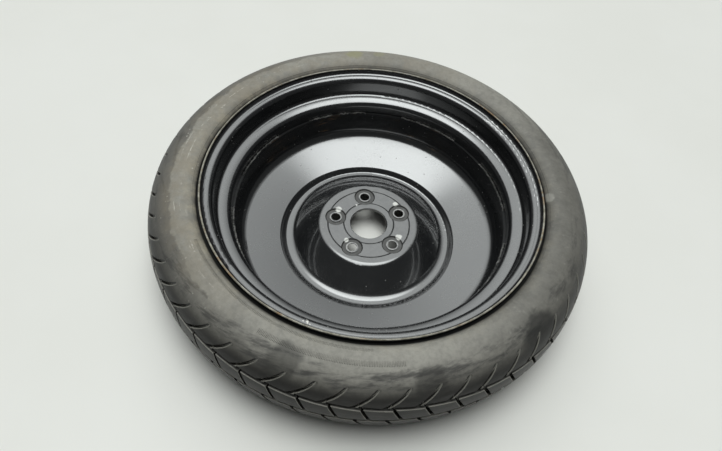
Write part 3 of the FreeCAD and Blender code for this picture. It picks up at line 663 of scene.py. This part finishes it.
def round_rib():
    """A fine round rib that runs all the way round the wheel."""
    tree, given, end = new_tree("round_rib", {
        "Radius": "Float", "Height": "Float", "Thickness": "Float", "Steps": "Int", "Sides": "Int",
        "Material": "Material",
    })
    circle = "GeometryNodeCurvePrimitiveCircle"
    path = node(tree, circle, Resolution=given["Steps"], Radius=given["Radius"]).outputs[0]
    thin = tree_maths(tree, "MULTIPLY", given["Thickness"], 0.5)
    section = node(tree, circle, Resolution=given["Sides"], Radius=thin).outputs[0]
    rib = node(tree, "GeometryNodeCurveToMesh", Curve=path, Profile_Curve=section).outputs[0]
    lift = node(tree, "ShaderNodeCombineXYZ", Z=given["Height"]).outputs[0]
    rib = node(tree, "GeometryNodeTransform", Geometry=rib, Translation=lift).outputs[0]
    return close_tree(tree, rib, given, end)


def screw_thread():
    """A round ridge or wire that winds up a cylinder, with closed ends."""
    tree, given, end = new_tree("screw_thread", {
        "Radius": "Float", "Length": "Float", "Turns": "Float", "Thickness": "Float", "Steps": "Int",
        "Material": "Material",
    })
    path = node(
        tree, "GeometryNodeCurveSpiral", Resolution=given["Steps"], Rotations=given["Turns"],
        Start_Radius=given["Radius"], End_Radius=given["Radius"], Height=given["Length"],
    ).outputs[0]
    thin = tree_maths(tree, "MULTIPLY", given["Thickness"], 0.5)
    section = node(tree, "GeometryNodeCurvePrimitiveCircle", Resolution=6, Radius=thin).outputs[0]
    ridge = node(
        tree, "GeometryNodeCurveToMesh", Curve=path, Profile_Curve=section, Fill_Caps=True,
    ).outputs[0]
    return close_tree(tree, ridge, given, end)


def ring_of_pitches():
    """Copies of one pitch, set side by side all the way round the wheel."""
    tree, given, end = new_tree("ring_of_pitches", {
        "Count": "Int", "First Angle": "Float", "Weld Distance": "Float", "Material": "Material",
    })
    index = node(tree, "GeometryNodeInputIndex").outputs[0]
    step = tree_maths(tree, "DIVIDE", 2 * math.pi, given["Count"])
    angle = tree_maths(tree, "ADD", given["First Angle"], tree_maths(tree, "MULTIPLY", index, step))
    turn = node(tree, "ShaderNodeCombineXYZ", Z=angle).outputs[0]
    turn = node(tree, "FunctionNodeEulerToRotation", Euler=turn).outputs[0]
    points = node(tree, "GeometryNodePoints", Count=given["Count"]).outputs[0]
    ring = node(
        tree, "GeometryNodeInstanceOnPoints", Points=points, Instance=given["Geometry"], Rotation=turn,
    ).outputs[0]
    ring = node(tree, "GeometryNodeRealizeInstances", Geometry=ring).outputs[0]
    near = given["Weld Distance"]
    ring = node(tree, "GeometryNodeMergeByDistance", Geometry=ring, Distance=near).outputs[0]
    painted = node(tree, "GeometryNodeSetMaterial", Geometry=ring, Material=given["Material"]).outputs[0]
    tree.links.new(painted, end["Geometry"])
    return tree


def grown(name, tree, start=None, **values):
    """A plain mesh object made by a geometry tree, from nothing or from a starting mesh."""
    piece = bpy.data.objects.new(name, start or bpy.data.meshes.new(name))
    scene.collection.objects.link(piece)
    modifier = piece.modifiers.new("shape", "NODES")
    modifier.node_group = tree
    for item in tree.interface.items_tree:
        label = item.name.replace(" ", "_").lower()
        if item.in_out == "INPUT" and label in values:
            modifier[item.identifier] = values[label]
    graph = bpy.context.evaluated_depsgraph_get()
    mesh = bpy.data.meshes.new_from_object(piece.evaluated_get(graph))
    piece.modifiers.remove(modifier)
    empty = piece.data
    piece.data = mesh
    bpy.data.meshes.remove(empty)
    mesh.name = name
    return piece


def joined(name, pieces):
    """One object from several, with their meshes put together."""
    bpy.ops.object.select_all(action="DESELECT")
    for piece in pieces:
        piece.select_set(True)
    bpy.context.view_layer.objects.active = pieces[0]
    bpy.ops.object.join()
    pieces[0].name = name
    return pieces[0]


LUMPS = row_of_lumps()
RIB = round_rib()
THREAD = screw_thread()
PITCHES = ring_of_pitches()


# Welds

def make_welds():
    """Short welds all round the disc's edge, each a row of overlapping lumps."""
    seams = []
    step = math.radians(WELD_ARC_DEG) / (WELD_RIPPLES - 1)
    for seam in range(WELD_COUNT):
        first = math.radians(WELD_FIRST_DEG + seam * 360 / WELD_COUNT)
        seams.append(grown(
            f"seam_{seam}", LUMPS, count=WELD_RIPPLES, radius=WELD_RADIUS, height=WELD_HEIGHT,
            first_angle=first, step=step, size=WELD_LUMP, tilt=math.radians(WELD_LEAN_DEG),
            jitter=WELD_JITTER, seed=seam, sides=10, rings=6, material=WELD_PAINT,
        ))
    return joined("weld_ripples", seams)


welds = make_welds()
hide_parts("weld_beads")
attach(welds, "wheel")


# Tyre

def surface_radius(height):
    """Outside radius of the tyre at a height on the crown or shoulder."""
    if abs(height) < CROWN_HALF:
        return TYRE_RADIUS - CROWN_RADIUS + math.sqrt(CROWN_RADIUS ** 2 - height ** 2)
    return SIDEWALL_MIDDLE[0] + math.sqrt(SIDEWALL_RADIUS ** 2 - (abs(height) - SIDEWALL_MIDDLE[1]) ** 2)


def tyre_section():
    """Closed section as (radius, height) points: outside, bead, inside, and the same below."""
    upper = []
    for k in range(1, CROWN_STEPS + 1):
        height = CROWN_HALF * k / CROWN_STEPS
        upper.append((surface_radius(height), height))
    lean = math.asin(CROWN_HALF / CROWN_RADIUS)
    for k in range(1, SIDEWALL_STEPS + 1):
        angle = lean + (math.pi / 2 - lean) * k / SIDEWALL_STEPS
        upper.append((SIDEWALL_MIDDLE[0] + SIDEWALL_RADIUS * math.cos(angle),
                      SIDEWALL_MIDDLE[1] + SIDEWALL_RADIUS * math.sin(angle)))
    for k in range(1, BEAD_STEPS + 1):
        angle = math.radians(90 + (BEAD_ARC_END_DEG - 90) * k / BEAD_STEPS)
        upper.append((SIDEWALL_MIDDLE[0] + BEAD_ARC_RADIUS * math.cos(angle),
                      BEAD_ARC_HEIGHT + BEAD_ARC_RADIUS * math.sin(angle)))
    upper.extend(BEAD_BACK)
    lower = [(radius, -height) for radius, height in reversed(upper)]
    return [(TYRE_RADIUS, 0.0)] + upper + [(LINER_RADIUS, 0.0)] + lower


def spun_wedge(name, section, first, last, steps):
    """Closed solid that a section sweeps about the wheel's axis, with flat ends."""
    corners = []
    for k in range(steps + 1):
        angle = first + (last - first) * k / steps
        for radius, height in section:
            corners.append((radius * math.cos(angle), radius * math.sin(angle), height))
    count = len(section)
    faces = []
    for k in range(steps):
        for j in range(count):
            ahead = (j + 1) % count
            faces.append((k * count + j, (k + 1) * count + j, (k + 1) * count + ahead, k * count + ahead))
    faces.append(tuple(range(count)))
    faces.append(tuple(reversed(range(steps * count, (steps + 1) * count))))
    return solid(name, corners, faces)


def solid(name, corners, faces):
    """A closed mesh object with its faces turned outwards."""
    mesh = bpy.data.meshes.new(name)
    mesh.from_pydata(corners, [], faces)
    shape = bmesh.new()
    shape.from_mesh(mesh)
    bmesh.ops.recalc_face_normals(shape, faces=shape.faces)
    shape.to_mesh(mesh)
    shape.free()
    piece = bpy.data.objects.new(name, mesh)
    scene.collection.objects.link(piece)
    return piece


def prism(name, floor, lift):
    """A flat outline of points, pushed along a direction."""
    count = len(floor)
    corners = [tuple(point) for point in floor] + [tuple(point + lift) for point in floor]
    faces = [tuple(range(count)), tuple(range(count, 2 * count))]
    faces.extend((k, (k + 1) % count, count + (k + 1) % count, count + k) for k in range(count))
    return solid(name, corners, faces)


def stamp(name, outline, floor_radius):
    """Outline across the crown, as (round, height), pressed in to a radius."""
    floor = [Vector((floor_radius, across, height)) for across, height in outline]
    return prism(name, floor, Vector((CUTTER_TOP - floor_radius, 0, 0)))


def shoulder_slot():
    """Curved slot from the ring groove up over the shoulder, running out at its tip."""
    root = Vector((surface_radius(GROOVE_Z) - SHOULDER_SLOT_DEPTH, 0, GROOVE_Z))
    along = Vector((surface_radius(SHOULDER_SLOT_END_Z), 0, SHOULDER_SLOT_END_Z)) - root
    outward = Vector((along.z, 0, -along.x)).normalized()
    middles = []
    for k in range(SHOULDER_SLOT_STEPS + 1):
        share = k / SHOULDER_SLOT_STEPS
        across = SHOULDER_SLOT_LEAN * (share - 0.5) + 4 * SHOULDER_SLOT_BOW * share * (1 - share)
        half = (SHOULDER_SLOT_WIDTH + (SHOULDER_SLOT_TIP - SHOULDER_SLOT_WIDTH) * share) / 2
        middles.append((root + along * share, across, half))
    floor = [point + Vector((0, across - half, 0)) for point, across, half in middles]
    floor.extend(point + Vector((0, across + half, 0)) for point, across, half in reversed(middles))
    return prism("shoulder_slot", floor, outward * (3 * SHOULDER_SLOT_DEPTH))


def tread_cutters():
    """One pitch of the upper half's pattern: each cutter and how far round it stands."""
    pitch = 2 * math.pi * TYRE_RADIUS / PITCH_COUNT
    foot = pitch / 4
    head = foot - CROSS_SLOT_LEAN
    half = CROSS_SLOT_WIDTH / 2
    cross = stamp("cross_slot", [
        (head - half, GROOVE_Z), (head + half, GROOVE_Z), (foot + half, 0.0), (foot - half, 0.0),
    ], surface_radius(GROOVE_Z) - CROSS_SLOT_DEPTH)
    reach = pitch / 2 + GROOVE_TOOTH
    half = GROOVE_WIDTH / 2
    tooth = GROOVE_TOOTH / 2
    groove = stamp("ring_groove", [
        (-reach, GROOVE_Z + tooth - half), (reach, GROOVE_Z - tooth - half),
        (reach, GROOVE_Z - tooth + half), (-reach, GROOVE_Z + tooth + half),
    ], surface_radius(GROOVE_Z) - GROOVE_DEPTH)
    root = head - SLOT_TO_CROSS
    return (
        (cross, 0.0),
        (groove, (head - pitch / 2) / TYRE_RADIUS),
        (shoulder_slot(), (root + SHOULDER_SLOT_LEAN / 2) / TYRE_RADIUS),
    )


def make_pitch():
    """One pitch of the tyre, with its part of the tread cut in and open ends."""
    turn = 2 * math.pi / PITCH_COUNT
    pitch = spun_wedge("pitch", tyre_section(), -turn / 2, turn / 2, PITCH_STEPS)
    half = MIDDLE_GROOVE_WIDTH / 2
    floor = TYRE_RADIUS - MIDDLE_GROOVE_DEPTH
    ring = [(floor, -half), (CUTTER_TOP, -half), (CUTTER_TOP, half), (floor, half)]
    cutters = [spun_wedge("middle_groove", ring, -turn, turn, 2 * PITCH_STEPS)]
    turned_over = Matrix.Rotation(math.pi, 4, "X")
    for shape, start in tread_cutters():
        for side in (Matrix.Identity(4), turned_over):
            for k in (-1, 0, 1):
                cutter = bpy.data.objects.new(shape.name, shape.data.copy())
                place = Matrix.Rotation(k * turn, 4, "Z") @ side @ Matrix.Rotation(start, 4, "Z")
                cutter.data.transform(place)
                scene.collection.objects.link(cutter)
                cutters.append(cutter)
        bpy.data.objects.remove(shape)
    for cutter in cutters:
        cut = pitch.modifiers.new("cut", "BOOLEAN")
        cut.operation = "DIFFERENCE"
        cut.solver = "EXACT"
        cut.object = cutter
    graph = bpy.context.evaluated_depsgraph_get()
    mesh = bpy.data.meshes.new_from_object(pitch.evaluated_get(graph))
    for used in cutters + [pitch]:
        bpy.data.objects.remove(used)
    shape = bmesh.new()
    shape.from_mesh(mesh)
    ends = []
    for face in shape.faces:
        turns = [math.atan2(corner.co.y, corner.co.x) for corner in face.verts]
        if max(turns) < 1e-6 - turn / 2 or min(turns) > turn / 2 - 1e-6:
            ends.append(face)
    bmesh.ops.delete(shape, geom=ends, context="FACES")
    shape.to_mesh(mesh)
    shape.free()
    return mesh


def make_tyre():
    """The whole tyre, from one pitch set round the wheel."""
    tyre = grown(
        "treaded_tyre", PITCHES, start=make_pitch(), count=PITCH_COUNT,
        first_angle=math.radians(TREAD_FIRST_DEG), weld_distance=WELD_DISTANCE, material=TYRE_RUBBER,
    )
    tyre.data.shade_smooth()
    tyre.data.set_sharp_from_angle(angle=math.radians(SHARP_EDGE_DEG))
    return tyre


tyre = make_tyre()
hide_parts("tyre")
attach(tyre, "wheel")


# Tyre sidewall detail

def sidewall_arc(radius):
    """Radius and middle height of the arc that the sidewall's face follows there."""
    if radius < SIDEWALL_MIDDLE[0]:
        return BEAD_ARC_RADIUS, BEAD_ARC_HEIGHT
    return SIDEWALL_RADIUS, SIDEWALL_MIDDLE[1]


def sidewall_height(radius):
    """Height of the sidewall's face above the mid-plane."""
    size, middle = sidewall_arc(radius)
    return middle + math.sqrt(size ** 2 - (radius - SIDEWALL_MIDDLE[0]) ** 2)


def sidewall_tilt(radius):
    """How far the sidewall's face leans outwards there."""
    return math.asin((radius - SIDEWALL_MIDDLE[0]) / sidewall_arc(radius)[0])


def make_sidewall_ribs():
    """A fine rib beside the rim on each sidewall."""
    ribs = []
    height = sidewall_height(SIDEWALL_RIB_RADIUS) - SIDEWALL_RIB_SINK
    for side in (1, -1):
        ribs.append(grown(
            f"rib_{len(ribs)}", RIB, radius=SIDEWALL_RIB_RADIUS, height=side * height,
            thickness=SIDEWALL_RIB_THICKNESS, steps=288, sides=8, material=TYRE_RUBBER,
        ))
    return joined("sidewall_ribs", ribs)


def make_serrations():
    """Bands of fine radial lines on each sidewall."""
    bands = []
    for radius, first, last, length in SERRATION_BANDS:
        count = int((last - first) * SERRATIONS_PER_DEG)
        height = sidewall_height(radius) - SERRATION_SINK
        for side in (1, -1):
            bands.append(grown(
                f"band_{len(bands)}", LUMPS, count=count, radius=radius, height=side * height,
                first_angle=math.radians(first), step=math.radians((last - first) / count),
                size=(length, SERRATION_WIDTH, SERRATION_THICKNESS), tilt=side * sidewall_tilt(radius),
                jitter=0.0, seed=1, sides=8, rings=5, material=TYRE_RUBBER,
            ))
    return joined("sidewall_serrations", bands)


for made in (make_sidewall_ribs(), make_serrations()):
    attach(made, "wheel")


# Valve thread, coil and cap ribs

def on_valve(piece, start):
    """Turns a piece made upright onto the valve's axis."""
    turn = Vector((0, 0, 1)).rotation_difference(VALVE_AXIS).to_matrix().to_4x4()
    piece.data.transform(Matrix.Translation(VALVE_BASE + start * VALVE_AXIS) @ turn)
    return piece


thread = on_valve(grown(
    "valve_thread", THREAD, radius=THREAD_RADIUS - SINK, length=THREAD_LENGTH,
    turns=THREAD_LENGTH / THREAD_PITCH, thickness=THREAD_RIDGE, steps=COIL_STEPS, material=BRASS,
), THREAD_START)
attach(thread, "wheel")

coil = on_valve(grown(
    "core_coil", THREAD, radius=COIL_RADIUS, length=COIL_END - COIL_START - COIL_WIRE, turns=COIL_TURNS,
    thickness=COIL_WIRE, steps=COIL_STEPS, material=CORE_STEEL,
), COIL_START + COIL_WIRE / 2)
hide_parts("core_spring")
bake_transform(coil)

cap_ribs = on_valve(grown(
    "cap_ribs", LUMPS, count=CAP_RIBS, radius=CAP_RADIUS - SINK, height=CAP_LENGTH / 2, first_angle=0.0,
    step=2 * math.pi / CAP_RIBS, size=(CAP_RIB_DEPTH, CAP_RIB_WIDTH, CAP_LENGTH * CAP_RIB_SHARE), tilt=0.0,
    jitter=0.0, seed=1, sides=8, rings=8, material=CAP_PLASTIC,
), CAP_START)
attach(cap_ribs, "cap")


# Floor, light and camera

def make_floor():
    """Plain pale floor just below the wheel."""
    half = FLOOR_HALF
    mesh = bpy.data.meshes.new("floor")
    low = cad_box[0].z - FLOOR_GAP
    corners = [(-half, -half, low), (half, -half, low), (half, half, low), (-half, half, low)]
    mesh.from_pydata(corners, [], [(0, 1, 2, 3)])
    f = Finish("pale_floor", roughness=0.6)
    cloud = f.noise(2.5, 4.0, 0.6)
    f.set("Base Color", f.blend(f.rise(cloud, 0.3, 0.7), *FLOOR_TINTS))
    mesh.materials.append(f.material)
    floor = bpy.data.objects.new("floor", mesh)
    scene.collection.objects.link(floor)


def make_room_light():
    """A bright ceiling overhead and beyond the wheel, and dim walls round about."""
    world = bpy.data.worlds.new("room")
    world.use_nodes = True
    scene.world = world
    tree = world.node_tree
    way = tree.nodes.new("ShaderNodeTexCoord").outputs["Generated"]
    total = DIM_ROOM
    for direction, edge, full, strength in BRIGHT_PATCHES:
        along = tree.nodes.new("ShaderNodeVectorMath")
        along.operation = "DOT_PRODUCT"
        tree.links.new(way, along.inputs[0])
        along.inputs[1].default_value = Vector(direction).normalized()
        patch = tree.nodes.new("ShaderNodeMapRange")
        patch.interpolation_type = "SMOOTHSTEP"
        tree.links.new(along.outputs["Value"], patch.inputs["Value"])
        limits = (math.cos(math.radians(edge)), math.cos(math.radians(full)), 0.0, strength)
        for label, number in zip(("From Min", "From Max", "To Min", "To Max"), limits):
            patch.inputs[label].default_value = number
        total = tree_maths(tree, "ADD", patch.outputs[0], total)
    background = tree.nodes["Background"]
    tree.links.new(total, background.inputs["Strength"])
    background.inputs["Color"].default_value = (*ROOM_TINT, 1.0)


def make_camera():
    """The photograph's viewing angle and framing."""
    lens = bpy.data.cameras.new("camera")
    lens.sensor_fit = "HORIZONTAL"
    lens.sensor_width = SENSOR_MM
    lens.lens = FOCAL_PIXELS * SENSOR_MM / PICTURE_WIDTH
    lens.shift_y = SHIFT_PIXELS / PICTURE_WIDTH
    camera = bpy.data.objects.new("camera", lens)
    back = CAMERA_RIGHT.cross(CAMERA_UP)
    turn = Matrix((CAMERA_RIGHT, CAMERA_UP, back)).transposed().to_4x4()
    camera.matrix_world = Matrix.Translation(CAMERA_PLACE) @ turn
    scene.collection.objects.link(camera)
    scene.camera = camera


make_floor()
make_room_light()
make_camera()
scene.view_settings.view_transform = "Standard"
